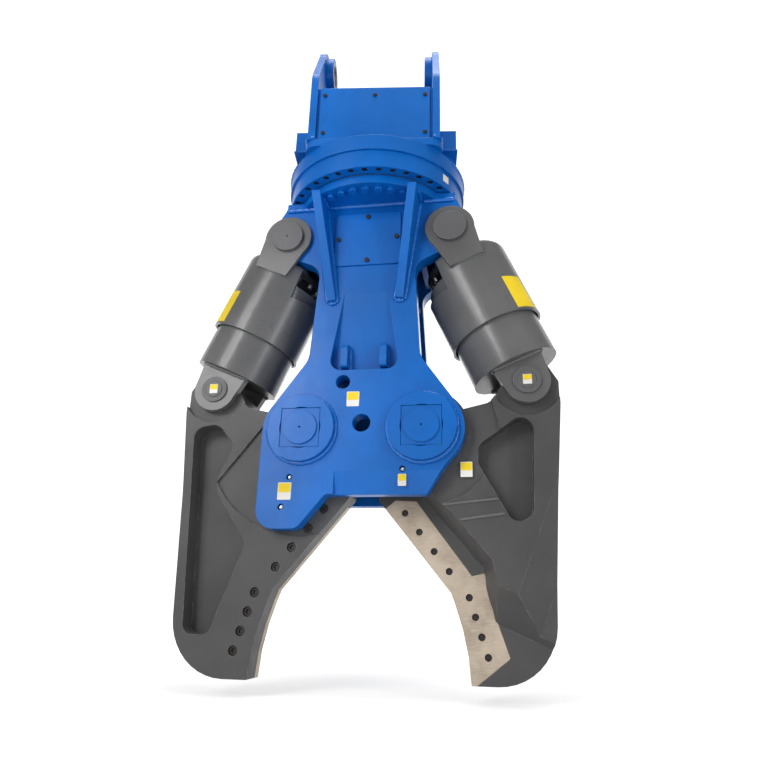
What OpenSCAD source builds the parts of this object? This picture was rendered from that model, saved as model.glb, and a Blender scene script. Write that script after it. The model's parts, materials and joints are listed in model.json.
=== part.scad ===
// Slewing hydraulic shear for an excavator of about 22 tonnes.
// Two jaws, each closed by its own cylinder, hang from a body that slews under the bracket.
// Origin: centre of the stick-pin bore. X runs along the pin, Z up the slew axis, front is -Y.
// The jaws are fully open at rest. Right-hand jaw and cylinder are the left-hand ones turned
// half a turn about the slew axis.

/* [Bracket] */
// Bore for the stick pin and for the link pin
pin_bore = 80; // [70:1:88]
// Distance between the two pin bores
pin_spacing = 430; // [410:5:450]
// Clear width between the bushes, for the end of the stick
stick_gap = 330; // [310:2:340]
// Width over the outer faces of the ears
ear_span = 430; // [424:2:440]
// Thickness of one ear
ear_plate = 24; // [20:1:28]
// Height of the pin bores over the base plate
ear_rise = 428; // [400:4:460]
// Distance of the stick-pin bore in front of the slew axis
stick_lead = 75; // [60:5:90]
// Width of the base plate
base_width = 450; // [440:5:470]
// Depth of the base plate, front to back
base_depth = 510; // [490:5:530]
// Thickness of the base plate
base_plate = 27; // [22:1:32]

/* [Slew drive] */
// Outer diameter of the slew bearing
race_d = 596; // [590:2:610]
// Height of the slew bearing
race_height = 66; // [60:1:74]
// Height of the round skirt over the bearing
skirt_height = 53; // [50:1:60]
// Tooth size of the slew gear: pitch diameter over number of teeth
tooth_module = 5.3; // [5.2:0.05:5.35]
// How far the body is turned about the slew axis at rest, in degrees
slew_turn = -6.5; // [-30:0.5:30]

/* [Body] */
// Height of the body from the jaw pivots to the underside of the top plate
body_height = 763; // [740:5:800]
// Distance between the two jaw pivots
hub_spacing = 358; // [352:1:366]
// Thickness of the front plate and of the rear plate
side_plate = 52; // [46:1:54]
// Thickness of the top plate
top_plate_t = 28; // [22:1:34]
// Width of the neck of the body
neck_width = 304; // [290:2:310]
// Diameter of a jaw pivot pin
pivot_pin_d = 124; // [112:2:130]
// Diameter of the collar round a pivot pin
collar_d = 202; // [196:2:210]

/* [Jaws] */
// Width of a jaw across both plates
jaw_width = 170; // [162:2:176]
// Length of a jaw from its pivot to the tip
jaw_reach = 690; // [670:5:700]
// Thickness of a blade
blade_t = 28; // [22:1:34]
// Gap between the two blade faces as they pass
blade_gap = 1.5; // [1:0.1:3]

/* [Cylinders] */
// Distance between the two upper cylinder pins
eye_spread = 530; // [520:2:540]
// Height of the upper cylinder pins over the jaw pivots
eye_rise = 650; // [640:2:660]
// Diameter of the guard round a cylinder
guard_d = 302; // [296:2:304]
// Bore of a cylinder
cylinder_bore = 160; // [150:2:164]
// Diameter of a piston rod
rod_d = 110; // [90:2:120]
// Diameter of an upper cylinder pin
eye_pin_d = 84; // [76:2:90]
// Diameter of a rod pin
rod_pin_d = 70; // [62:2:72]

/* [Node] */
// Which sub-part is drawn

/* [Hidden] */

$fn = 48;
cut = 2;                // overrun of every cut
running_fit = 0.05;     // radial clearance of a pin that turns in its bore
free_fit = 0.4;         // radial clearance of round faces that only pass each other
side_gap = 3;           // gap between a jaw and a body plate, filled by a thrust washer
pivot_play = 8.5;       // radial clearance of a rod pin in the jaw arm, the opened pivot
arc_step = 9;           // degrees of one step along a rounded corner

blue = [0.02, 0.36, 0.80];
grey = [0.42, 0.42, 0.43];
dark = [0.14, 0.14, 0.15];
steel = [0.66, 0.66, 0.68];
blade_tan = [0.76, 0.70, 0.62];
bronze = [0.70, 0.50, 0.28];

// Heights in the body frame, whose origin is midway between the jaw pivots
deck_top = body_height + top_plate_t;
race_top = deck_top + race_height;
base_top = race_top + skirt_height + base_plate;
hub_drop = base_top + ear_rise;

// Bracket
ear_in = ear_span / 2 - ear_plate;
ear_tip_r = 78;
boss_wall = 12;
bush_wall = 10;
bush_r = pin_bore / 2 + bush_wall;
boss_r = bush_r + boss_wall;
wall_t = 12;
cover_t = 8;
cover_screw_r = 7;
front_y = -base_depth / 2;
wall_y = front_y + wall_t;
wall_rise = 0.5 * ear_rise;
base_corner = 40;

// Slew drive
gear_teeth = round(0.64 * race_d / tooth_module);
pinion_teeth = 12;
gear_pitch_r = tooth_module * gear_teeth / 2;
pinion_pitch_r = tooth_module * pinion_teeth / 2;
mesh_gap = 0.4;
pinion_dist = gear_pitch_r + pinion_pitch_r + mesh_gap;
motor_angle = 22.5;
motor_x = pinion_dist * cos(motor_angle);
motor_y = -pinion_dist * sin(motor_angle);
motor_pot_r = 64;
motor_w = 132;
motor_depth = 150;
motor_top = 105;
motor_seat = 21;
shaft_r = 18;
race_r = race_d / 2;
race_wall = 40;
race_split_r = race_r - race_wall;
race_gap = 1;
inner_race_wall = 108;
inner_race_r = race_split_r - inner_race_wall;
race_lift = 4;
skirt_lip = 7;
skirt_r = race_r + skirt_lip;
skirt_wall = 37;
skirt_cap = 12;
gear_height = 34;
swivel_r = 0.7 * inner_race_r;
swivel_core_r = swivel_r * 2 / 3;
race_bolt_count = 40;
race_bolt_hole_r = 10;
race_bolt_r = race_r - 1.6 * race_bolt_hole_r;
deck_bolt_count = 36;
deck_bolt_margin = 24;
deck_bolt_r = race_split_r - deck_bolt_margin;
deck_bolt_head_r = 14;
deck_bolt_hole_r = 8;
deck_bolt_depth = 30;
deck_r = race_r - 0.9 * race_wall;
wing_margin = 18;
wing_x = eye_spread / 2 + wing_margin;

// Body
plate_in = jaw_width / 2 + side_gap;
plate_out = plate_in + side_plate;
hub_x = hub_spacing / 2;
collar_r = collar_d / 2;
hub_margin = 21;
hub_plate_r = collar_r + hub_margin;
plate_drop = 193;
lobe_drop = 291;
collar_t = 23;
recess = 10;
pin_r = pivot_pin_d / 2;
square = 0.94 * pivot_pin_d;
neck_x = neck_width / 2;
web_t = 20;
web_x = neck_x - 0.6 * web_t;
rib_t = 27;
rib_top_x = 155;
rib_foot_x = 107;
rib_foot_z = 0.54 * body_height;
rib_lean = atan2(rib_top_x - rib_foot_x, body_height - rib_foot_z);
panel_screw_r = 8;
panel_h = 190;
panel_t = 6;
panel_z = 0.83 * body_height;
panel_foot = panel_z - 0.5 * panel_h;
panel_w = 2 * (rib_foot_x + (panel_foot - rib_foot_z) * tan(rib_lean)
    - rib_t / 2 / cos(rib_lean) - side_gap);

// Cylinder linkage in the body frame, left side
eye_x = eye_spread / 2;
arm_x = 305;
arm_z = 146;
rod_pin_x = hub_x + arm_x;
reach_x = rod_pin_x - eye_x;
reach_z = eye_rise - arm_z;
cylinder_len = sqrt(reach_x * reach_x + reach_z * reach_z);
cylinder_angle = atan2(reach_x, reach_z);
eye_plate_r = 58;
eye_edge = 1;
guard_r = guard_d / 2;
guard_wall = 8;
guard_start = 64;
guard_end = 0.6278 * cylinder_len;
cheek_gap = 2;
cheek_in = plate_out + cheek_gap;
cheek_t = 13;
cheek_r = 78;
sleeve_gap = 5;
sleeve_r = guard_r - guard_wall - sleeve_gap;
sleeve_wall = 8;
sleeve_start = 0.2402 * cylinder_len;
lug_reach = 70;
sleeve_end = cylinder_len - lug_reach;
sleeve_floor = 24;
barrel_wall = 18;
barrel_r = cylinder_bore / 2 + barrel_wall;
base_flange_lip = 24;
base_flange_r = barrel_r + base_flange_lip;
base_flange_s = guard_start + guard_wall;
base_flange_t = 20;
gland_t = 22;
barrel_end = sleeve_end - sleeve_floor - gland_t;
arm_cut = 10;
arm_face = jaw_width / 2 - arm_cut;
lug_gap = 2.5;
lug_in = arm_face + lug_gap;
lug_t = 26;
lug_r = 68;

// Jaw
hub_r = 135;
jaw_bush_wall = 13;
jaw_bush_r = pin_r + jaw_bush_wall;
face_step = 8;
pocket_depth = 60;
jaw_face = jaw_width / 2;
shear_face = blade_gap / 2;
lobe_clear_r = 306;
arm_clear_r = 104;
bolt_sink = 22;
bush_gap = 6;
hub_clear_r = 218;
blade_screw_r = 10;
blade_head_r = 14;

// Outline of a jaw round its pivot, as shares of the reach: x, z, corner radius
jaw_shares = [
    [-0.575, 0.110, 0], [-0.575, 0.217, 0.01], [-0.522, 0.307, 0.02], [-0.435, 0.297, 0.05],
    [-0.352, 0.239, 0.05], [-0.287, 0.126, 0.06], [-0.172, 0.099, 0], [0, 0, 0],
    [0.155, -0.105, 0], [0.214, -0.268, 0.03], [0.181, -0.310, 0.008], [-0.101, -0.654, 0],
    [-0.171, -0.841, 1.0], [-0.178, -1.0, 0.006], [-0.507, -1.0, 0.239],
    [-0.545, -0.243, 0.4]
];
upper_blade_shares = [
    [0.181, -0.310, 0], [0.135, -0.274, 0], [0.045, -0.278, 0], [-0.188, -0.586, 0],
    [-0.101, -0.654, 0]
];
lower_blade_shares = [
    [-0.101, -0.654, 0], [-0.188, -0.586, 0], [-0.243, -0.571, 0.01], [-0.243, -0.639, 0.3],
    [-0.332, -0.896, 0.01], [-0.199, -1.0, 0], [-0.178, -1.0, 0.006], [-0.171, -0.841, 1.0]
];
// The seat of both blades, open towards the cutting edge
blade_seat_shares = [
    [0.0445, -0.2775, 0], [0.135, -0.2735, 0], [0.250, -0.3635, 0], [0.250, -1.05, 0],
    [-0.1355, -1.05, 0], [-0.3325, -0.896, 0.01], [-0.2435, -0.639, 0.3],
    [-0.2435, -0.5705, 0.01], [-0.1885, -0.5855, 0]
];
upper_hole_share = [0.094, -0.328];
upper_pitch_share = [-0.0628, -0.0801];
lower_hole_share = [-0.175, -0.670];
lower_pitch_share = [-0.0236, -0.0749];
front_pocket_shares = [
    [-0.525, 0.035, 0.05], [-0.412, 0.050, 0.05], [-0.325, -0.050, 0.05],
    [-0.405, -0.225, 0.10], [-0.235, -0.474, 0.03], [-0.362, -0.838, 0.04],
    [-0.470, -0.838, 0.04]
];
rear_pocket_shares = [
    [-0.418, 0.070, 0.05], [-0.460, 0.012, 0.05], [-0.442, -0.352, 0.05],
    [-0.368, -0.400, 0.05], [-0.226, -0.140, 0.06], [-0.226, -0.060, 0.06]
];
// Foot of the wall of the thick half, at the shear face
wall_shares = [[0.170, -0.087], [-0.232, -0.548], [-0.277, -0.762], [-0.174, -1.2]];
wall_lean = 18;
// Line where the thick half starts to slope down to the toe, and to the outer edge
toe_shares = [[-0.2, -0.588], [-0.6, -0.753]];
toe_lean = 45;
cheek_shares = [[-0.330, -0.758], [-0.530, -0.243]];
cheek_lean = 50;

// Plain helpers

function unit(v) = v / norm(v);

// Points of the arc of radius r that rounds the corner b between a and c
function corner(a, b, c, r) =
    let (
        u = unit(a - b),
        v = unit(c - b),
        half = acos(max(-1, min(1, u * v))) / 2,
        centre = b + unit(u + v) * r / sin(half),
        start = b + u * r / tan(half) - centre,
        turn = (u.x * v.y - u.y * v.x < 0 ? 1 : -1) * (180 - 2 * half),
        steps = max(1, ceil(abs(turn) / arc_step))
    )
    [for (i = [0:steps])
        let (t = turn * i / steps)
        centre + [start.x * cos(t) - start.y * sin(t), start.x * sin(t) + start.y * cos(t)]];

// Outline whose points are [x, y, corner radius]
function rounded(pts) =
    let (n = len(pts))
    [for (i = [0:n - 1])
        let (
            a = pts[(i + n - 1) % n],
            b = pts[i],
            c = pts[(i + 1) % n],
            arc = b[2] > 0
                ? corner([a.x, a.y], [b.x, b.y], [c.x, c.y], b[2])
                : [[b.x, b.y]]
        )
        each arc];

// Places a drawing in the X-Z plane and gives it the depth from y0 to y1
module slab(y0, y1) {
    translate([0, y1, 0])
        rotate([90, 0, 0])
            linear_extrude(y1 - y0)
                children();
}

// Round bar along Y at x, z, from y0 to y1
module bar_y(x, z, r, y0, y1) {
    translate([x, y1, z])
        rotate([90, 0, 0])
            cylinder(r = r, h = y1 - y0);
}

module ring(r_out, r_in, h) {
    difference() {
        cylinder(r = r_out, h = h);
        translate([0, 0, -cut])
            cylinder(r = r_in, h = h + 2 * cut);
    }
}

module block(x0, x1, y0, y1, z0, z1) {
    translate([x0, y0, z0])
        cube([x1 - x0, y1 - y0, z1 - z0]);
}

// Frame of the bracket: slew axis, top face of the base plate
module in_bracket() {
    translate([0, stick_lead, -ear_rise])
        children();
}

// Frame of the body: slew axis, height of the jaw pivots
module in_body() {
    translate([0, stick_lead, -hub_drop])
        rotate([0, 0, slew_turn])
            children();
}

// Half a turn about the slew axis makes a right-hand piece from a left-hand one
module turned() {
    rotate([0, 0, 180])
        children();
}

module in_left_jaw() {
    in_body()
        translate([-hub_x, 0, 0])
            children();
}

module in_right_jaw() {
    in_body()
        turned()
            translate([-hub_x, 0, 0])
                children();
}

// Frame of the left cylinder: upper pin, cylinder along -Z
module on_cylinder() {
    translate([-eye_x, 0, eye_rise])
        rotate([0, cylinder_angle, 0])
            children();
}

module in_left_cylinder() {
    in_body()
        on_cylinder()
            children();
}

module in_right_cylinder() {
    in_body()
        turned()
            on_cylinder()
                children();
}

// Round piece along the cylinder, from s0 to s1 below the upper pin
module tube(r, s0, s1) {
    translate([0, 0, -s1])
        cylinder(r = r, h = s1 - s0);
}

// Hexagon head screw along -Y: head outside y, shank inside
module screw_y(x, y, z, r, head, shank) {
    bar_hex(x, y, z, r, head);
    bar_y(x, z, 0.55 * r, y, y + shank);
}

module bar_hex(x, y, z, r, head) {
    translate([x, y, z])
        rotate([90, 0, 0])
            cylinder(r = r, h = head, $fn = 6);
}

// Bracket

module bracket_base() {
    color(blue)
        in_bracket()
            difference() {
                union() {
                    translate([0, 0, -base_plate])
                        linear_extrude(base_plate)
                            polygon(rounded([
                                [-base_width / 2, front_y, base_corner],
                                [base_width / 2, front_y, base_corner],
                                [base_width / 2, -front_y, base_corner],
                                [-base_width / 2, -front_y, base_corner]
                            ]));
                    translate([0, 0, -base_plate - skirt_height])
                        ring(skirt_r, skirt_r - skirt_wall, skirt_height);
                    translate([0, 0, -base_plate - skirt_cap])
                        cylinder(r = skirt_r, h = skirt_cap, $fn = 96);
                }
                translate([0, 0, -base_plate - skirt_height])
                    cylinder(r = swivel_r, h = 2 * base_plate + skirt_height);
                for (side = [-1, 1])
                    translate([side * motor_x, motor_y, -base_plate])
                        cylinder(r = motor_pot_r + free_fit, h = base_plate + cut);
                for (side = [-1, 1])
                    translate([side * motor_x, motor_y, -base_plate - skirt_height])
                        cylinder(
                            r = pinion_pitch_r + 2 * tooth_module,
                            h = base_plate + skirt_height
                        );
            }
}

// One ear in the Y-Z plane of the bracket
module ear(side) {
    link_y = pin_spacing - stick_lead;
    outer = side > 0 ? ear_in : -ear_span / 2;
    room = 3 * cut;
    color(blue)
        in_bracket()
            difference() {
                union() {
                    translate([outer, 0, 0])
                        rotate([90, 0, 90])
                            linear_extrude(ear_plate)
                                polygon(ear_outline(link_y));
                    for (y = [-stick_lead, link_y])
                        translate([outer, y, ear_rise])
                            rotate([0, 90, 0])
                                cylinder(r = ear_tip_r, h = ear_plate);
                }
                for (y = [-stick_lead, link_y])
                    translate([outer - cut, y, ear_rise])
                        rotate([0, 90, 0])
                            cylinder(r = bush_r, h = ear_plate + 2 * cut);
                block(
                    outer - cut, outer + ear_plate + cut,
                    motor_y - motor_depth / 2 - room, motor_y + motor_depth / 2 + room,
                    -cut, motor_top + room
                );
            }
}

// Rings on the inner faces of the ears, round the bushes
module ear_bosses() {
    color(blue)
        for (side = [-1, 1], y = [0, pin_spacing])
            translate([side > 0 ? stick_gap / 2 : -ear_in, y, 0])
                rotate([0, 90, 0])
                    ring(boss_r, bush_r, ear_in - stick_gap / 2);
}

function ear_outline(link_y) =
    let (
        tip = 0.98 * ear_tip_r,
        low = 0.61 * ear_rise
    )
    rounded([
        [front_y, 0, 0],
        [front_y, low, tip],
        [-stick_lead - tip * cos(28.5), ear_rise + tip * sin(28.5), 0],
        [-stick_lead + tip * cos(50), ear_rise + tip * sin(50), 0],
        [-stick_lead + 1.9 * tip, ear_rise - tip, tip / 2],
        [link_y - 1.9 * tip, ear_rise - tip, tip / 2],
        [link_y - tip * cos(50), ear_rise + tip * sin(50), 0],
        [link_y + tip * cos(25), ear_rise - tip * sin(25), 0],
        [-front_y, 0.35 * ear_rise, tip],
        [-front_y, 0, 0]
    ]);

module left_ear() {
    ear(-1);
}

module right_ear() {
    ear(1);
}

module bracket_bushes() {
    color(steel)
        for (side = [-1, 1], y = [0, pin_spacing])
            translate([side > 0 ? stick_gap / 2 : -ear_span / 2, y, 0])
                rotate([0, 90, 0])
                    ring(bush_r, pin_bore / 2, (ear_span - stick_gap) / 2);
}

module bracket_walls() {
    color(blue)
        in_bracket()
            for (side = [-1, 1])
                block(
                    -ear_in, ear_in,
                    side < 0 ? wall_y : -wall_y - wall_t,
                    side < 0 ? wall_y + wall_t : -wall_y,
                    0, wall_rise
                );
}

// Screw places on a cover: four near its corners and one at the top
function cover_places() = [
    [-0.87 * ear_in, 0.12 * wall_rise], [0.87 * ear_in, 0.12 * wall_rise],
    [-0.87 * ear_in, 0.83 * wall_rise], [0.87 * ear_in, 0.83 * wall_rise],
    [0, 0.83 * wall_rise]
];

module covers() {
    color(blue)
        in_bracket()
            for (half = [0, 180])
                rotate([0, 0, half])
                    difference() {
                        block(
                            -0.95 * ear_in, 0.95 * ear_in,
                            wall_y - cover_t, wall_y,
                            0.01 * wall_rise, 0.98 * wall_rise
                        );
                        for (p = cover_places())
                            bar_y(
                                p.x, p.y, 0.55 * cover_screw_r,
                                wall_y - cover_t - cut, wall_y + cut
                            );
                    }
}

module cover_screws() {
    color(dark)
        in_bracket()
            for (half = [0, 180])
                rotate([0, 0, half])
                    for (p = cover_places())
                        screw_y(
                            p.x, wall_y - cover_t, p.y,
                            cover_screw_r, 0.6 * cover_screw_r, cover_t
                        );
}

// Slewing motor: round pot through the base plate, square housing above, two oil ports
module motor(side) {
    port_r = 14;
    lip = 4;
    lip_t = 5;
    foot_gap = 1;
    x_port = 0.22 * motor_w;
    y_port = 0.25 * motor_depth;
    color(blue)
        in_bracket()
            translate([side * motor_x, motor_y, 0])
                difference() {
                    union() {
                        translate([0, 0, foot_gap - base_plate])
                            cylinder(r = motor_pot_r, h = base_plate + motor_seat - foot_gap);
                        block(
                            -motor_w / 2 - lip, motor_w / 2 + lip,
                            -motor_depth / 2 - lip, motor_depth / 2 + lip,
                            motor_seat, motor_seat + lip_t
                        );
                        block(
                            -motor_w / 2, motor_w / 2,
                            -motor_depth / 2, motor_depth / 2,
                            motor_seat + lip_t, motor_top
                        );
                        for (x = [-x_port, x_port])
                            translate([x, y_port, motor_top])
                                cylinder(r = port_r, h = port_r);
                    }
                    translate([0, 0, -base_plate])
                        cylinder(r = shaft_r + running_fit, h = base_plate + 0.8 * motor_top);
                    for (x = [-x_port, x_port])
                        translate([x, y_port, motor_top - port_r])
                            cylinder(r = 0.5 * port_r, h = 2 * port_r + cut);
                }
}

module left_motor() {
    motor(-1);
}

module right_motor() {
    motor(1);
}

module outer_race() {
    color(blue)
        in_bracket()
            translate([0, 0, -base_plate - skirt_height - race_height + race_lift])
                difference() {
                    ring(race_r, race_split_r + race_gap, race_height - race_lift);
                    race_bolt_places()
                        translate([0, 0, -cut])
                            cylinder(
                                r = race_bolt_hole_r, h = 1.6 * race_bolt_hole_r + cut, $fn = 16
                            );
                }
}

module race_bolt_places() {
    for (i = [0:race_bolt_count - 1])
        rotate([0, 0, (i + 0.5) * 360 / race_bolt_count])
            translate([race_bolt_r, 0, 0])
                children();
}

module race_bolts() {
    color(dark)
        in_bracket()
            translate([0, 0, -base_plate - skirt_height - race_height + race_lift])
                race_bolt_places()
                    translate([0, 0, 0.4 * race_bolt_hole_r])
                        cylinder(
                            r = 0.9 * race_bolt_hole_r, h = 1.2 * race_bolt_hole_r, $fn = 14
                        );
}

module swivel_housing() {
    collar = 22;
    collar_t = 14;
    rise = 60;
    bore_rise = 50;
    port_r = 13;
    port_z = 38;
    port_reach = 16;
    color(dark)
        in_bracket()
            difference() {
                union() {
                    translate([0, 0, -base_plate - skirt_cap])
                        cylinder(r = swivel_r, h = base_plate + skirt_cap + rise);
                    cylinder(r = swivel_r + collar, h = collar_t);
                    for (a = [60, 120, 240, 300])
                        rotate([0, 0, a])
                            translate([0, 0, port_z])
                                rotate([0, 90, 0])
                                    cylinder(r = port_r, h = swivel_r + port_reach, $fn = 24);
                }
                translate([0, 0, -base_plate - skirt_cap - cut])
                    cylinder(
                        r = swivel_core_r + free_fit,
                        h = base_plate + skirt_cap + bore_rise + cut
                    );
            }
}

// Slew gear

// Straight-flanked teeth on the pitch radius r, one tooth centred on the X axis
module toothed(r, teeth, h) {
    tip = r + 0.95 * tooth_module;
    root = r - 1.2 * tooth_module;
    tip_half = 0.32 * tooth_module / tip * 180 / PI;
    root_half = 1.0 * tooth_module / root * 180 / PI;
    linear_extrude(h)
        polygon([
            for (i = [0:teeth - 1])
                let (a = i * 360 / teeth)
                each [
                    root * [cos(a - root_half), sin(a - root_half)],
                    tip * [cos(a - tip_half), sin(a - tip_half)],
                    tip * [cos(a + tip_half), sin(a + tip_half)],
                    root * [cos(a + root_half), sin(a + root_half)]
                ]
        ]);
}

// Angle at which a pinion at bearing b meets the turned slew gear
function pinion_phase(b) =
    b + 180 + ((b - slew_turn) * gear_teeth - 180) / pinion_teeth;

module pinion(side) {
    bearing = side > 0 ? -motor_angle : 180 + motor_angle;
    lift = 5;
    top_gap = 4;
    color(steel)
        in_bracket()
            translate([side * motor_x, motor_y, -base_plate - skirt_height + lift])
                rotate([0, 0, pinion_phase(bearing)]) {
                    toothed(pinion_pitch_r, pinion_teeth, gear_height - top_gap);
                    cylinder(
                        r = shaft_r,
                        h = skirt_height + base_plate - lift + 0.7 * motor_top
                    );
                }
}

module left_pinion() {
    pinion(-1);
}

module right_pinion() {
    pinion(1);
}

module slew_gear() {
    color(steel)
        in_body()
            translate([0, 0, race_top + race_gap])
                difference() {
                    toothed(gear_pitch_r, gear_teeth, gear_height);
                    translate([0, 0, -cut])
                        cylinder(r = inner_race_r, h = gear_height + 2 * cut);
                }
}

module inner_race() {
    color(steel)
        in_body()
            translate([0, 0, deck_top])
                difference() {
                    ring(race_split_r, inner_race_r, race_height + race_gap);
                    deck_bolt_places()
                        translate([0, 0, -cut])
                            cylinder(
                                r = deck_bolt_hole_r, h = deck_bolt_depth + cut, $fn = 16
                            );
                }
}

// Bolts of the inner race, left out where a plate or a rib stands under the top plate
module deck_bolt_places() {
    for (i = [0:deck_bolt_count - 1])
        let (
            a = (i + 0.1) * 360 / deck_bolt_count,
            x = abs(deck_bolt_r * cos(a)),
            y = abs(deck_bolt_r * sin(a)),
            room = deck_bolt_head_r + side_gap
        )
        if (y < plate_in - room || (y > plate_out + room && abs(x - rib_top_x) > rib_t / 2 + room))
            rotate([0, 0, a])
                translate([deck_bolt_r, 0, 0])
                    children();
}

module underside_bolts() {
    head = 11;
    slack = 0.3;
    tip_gap = 2;
    color(blue)
        in_body()
            deck_bolt_places() {
                translate([0, 0, body_height - head])
                    cylinder(r = deck_bolt_head_r, h = head, $fn = 6);
                translate([0, 0, body_height])
                    cylinder(
                        r = deck_bolt_hole_r - slack, h = top_plate_t + deck_bolt_depth - tip_gap,
                        $fn = 16
                    );
            }
}

// The flange under the top plate stays between the front plate and the rear plate
module swivel_core() {
    flange_r = plate_in - 2 * side_gap;
    flange_t = 18;
    rise = 46;
    neck = 50;
    neck_step = 8;
    port_r = 13;
    port_drop = 34;
    port_reach = 20;
    color(steel)
        in_body()
            union() {
                translate([0, 0, body_height - flange_t])
                    cylinder(r = swivel_core_r, h = base_top - body_height + flange_t + rise);
                translate([0, 0, body_height - flange_t])
                    cylinder(r = flange_r, h = flange_t);
                for (a = [45:90:315])
                    rotate([0, 0, a])
                        translate([0, 0, body_height - port_drop])
                            rotate([0, 90, 0])
                                cylinder(r = port_r, h = swivel_core_r + port_reach, $fn = 24);
                translate([0, 0, body_height - neck])
                    cylinder(r = swivel_core_r - neck_step, h = neck);
            }
}

// Body

module top_plate() {
    wing_inset = 4;
    wing_y = plate_out - wing_inset;
    edge_r = 6;
    fillet = 70;
    half = [
        [wing_x, -wing_y, edge_r], [wing_x, wing_y, edge_r],
        [0.80 * deck_r, wing_y, fillet], [0.62 * deck_r, 0.785 * deck_r, 0]
    ];
    color(blue)
        in_body()
            translate([0, 0, body_height])
                difference() {
                    union() {
                        cylinder(r = deck_r, h = top_plate_t, $fn = 96);
                        linear_extrude(top_plate_t)
                            polygon(rounded(concat(
                                [[0.62 * deck_r, -0.785 * deck_r, 0],
                                    [0.80 * deck_r, -wing_y, fillet]],
                                half,
                                [for (i = [3:-1:0]) [-half[i].x, half[i].y, half[i][2]]],
                                [[-0.80 * deck_r, -wing_y, fillet],
                                    [-0.62 * deck_r, -0.785 * deck_r, 0]]
                            )));
                    }
                    translate([0, 0, -cut])
                        cylinder(r = swivel_core_r, h = top_plate_t + 2 * cut);
                    deck_bolt_places()
                        translate([0, 0, -cut])
                            cylinder(r = deck_bolt_hole_r, h = top_plate_t + 2 * cut, $fn = 16);
                }
}

// Height of the shoulder under a cylinder eye, where it crosses x
function shoulder_z(x) =
    eye_rise + ((x - eye_x) * sin(cylinder_angle) - eye_plate_r) / cos(cylinder_angle);

// Front plate drawn in the X-Z plane; its guide lobe is on the left
function plate_outline() =
    let (
        lobe_x = hub_x + hub_plate_r,
        tangent = 33,
        slant = 24,
        edge_x = eye_x + eye_plate_r,
        eye_round = eye_plate_r - eye_edge,
        waist_flare = 20,
        waist_r = 70,
        armpit_r = 55,
        wing_r = 40,
        lobe_r = 55,
        lobe_inner_r = 35,
        foot_r = 15,
        heel_r = 8,
        side_r = 10,
        waist_z = 0.29 * body_height,
        wing_z = 0.905 * body_height
    )
    rounded([
        [-lobe_x, 0, 0],
        [-lobe_x, -lobe_drop, lobe_r],
        [-hub_x, -lobe_drop, lobe_inner_r],
        [-0.55 * hub_x, -plate_drop, foot_r],
        [1.07 * hub_x, -plate_drop, heel_r],
        [1.30 * hub_x, -0.66 * plate_drop, side_r],
        [hub_x + hub_plate_r * cos(slant), -hub_plate_r * sin(slant), 0],
        [hub_x + hub_plate_r * cos(tangent), hub_plate_r * sin(tangent), 0],
        [neck_x + waist_flare, waist_z, waist_r],
        [neck_x, shoulder_z(neck_x), armpit_r],
        [edge_x, shoulder_z(edge_x), eye_round],
        [edge_x, wing_z, wing_r],
        [wing_x, body_height, 0],
        [-wing_x, body_height, 0],
        [-edge_x, wing_z, wing_r],
        [-edge_x, shoulder_z(edge_x), eye_round],
        [-neck_x, shoulder_z(neck_x), armpit_r],
        [-neck_x - waist_flare, waist_z, waist_r],
        [-hub_x - hub_plate_r * cos(tangent), hub_plate_r * sin(tangent), 0]
    ]);

// Window of the neck, wider at its foot
function window_outline() =
    rounded([
        [-0.45 * neck_x, window_top, window_top_r],
        [0.45 * neck_x, window_top, window_top_r],
        [0.72 * neck_x, window_foot, window_foot_r],
        [-0.72 * neck_x, window_foot, window_foot_r]
    ]);

window_top_r = 12;
window_foot_r = 34;
window_top = 0.575 * body_height;
window_foot = 0.24 * body_height;
window_slope = atan(0.75 * side_plate / (window_top - window_foot));

grease_shares = [
    [-1.16, -0.80], [-1.27, -1.28], [0.69, -0.68]
];

module body_plate() {
    grease_r = 9;
    lock_r = 22;
    sight_r = 27;
    difference() {
        union() {
            slab(-plate_out, -plate_in)
                polygon(plate_outline());
            for (side = [-1, 1])
                bar_y(side * hub_x, 0, hub_plate_r, -plate_out, -plate_in, $fn = 72);
        }
        for (side = [-1, 1]) {
            bar_y(side * hub_x, 0, pin_r, -plate_out - cut, -plate_in + cut);
            bar_y(
                side * eye_x, eye_rise, eye_pin_d / 2 + running_fit,
                -plate_out - cut, -plate_in + cut
            );
        }
        // window of the neck: flush at its top, deepest at its foot
        intersection() {
            slab(-plate_out - cut, -plate_in - cut)
                polygon(window_outline());
            translate([0, -plate_out, window_top])
                rotate([window_slope, 0, 0])
                    block(
                        -neck_x, neck_x, -side_plate, 0,
                        -0.5 * body_height, 0.1 * body_height
                    );
        }
        // lock hole and sight hole
        bar_y(-0.34 * hub_x, 0.19 * body_height, lock_r, -plate_out - cut, -plate_in + cut);
        bar_y(0, 0.09 * hub_x, sight_r, -plate_out - cut, -plate_in + cut);
        for (p = grease_shares)
            bar_y(p.x * hub_x, p.y * hub_x, grease_r, -plate_out - cut, grease_seat);
        // bevelled lower edge
        translate([-0.42 * hub_x, -plate_out, -0.66 * plate_drop])
            rotate([0, 90, 0])
                linear_extrude(3 * hub_x)
                    polygon([
                        [0, 0], [0.5 * plate_drop, 0.42 * side_plate],
                        [0.5 * plate_drop, -side_plate], [0, -side_plate]
                    ]);
    }
}

module front_plate() {
    color(blue)
        in_body()
            body_plate();
}

module rear_plate() {
    color(blue)
        in_body()
            turned()
                body_plate();
}

// Depth of the grease holes
grease_depth = 16;
grease_seat = -plate_out + grease_depth;

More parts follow.
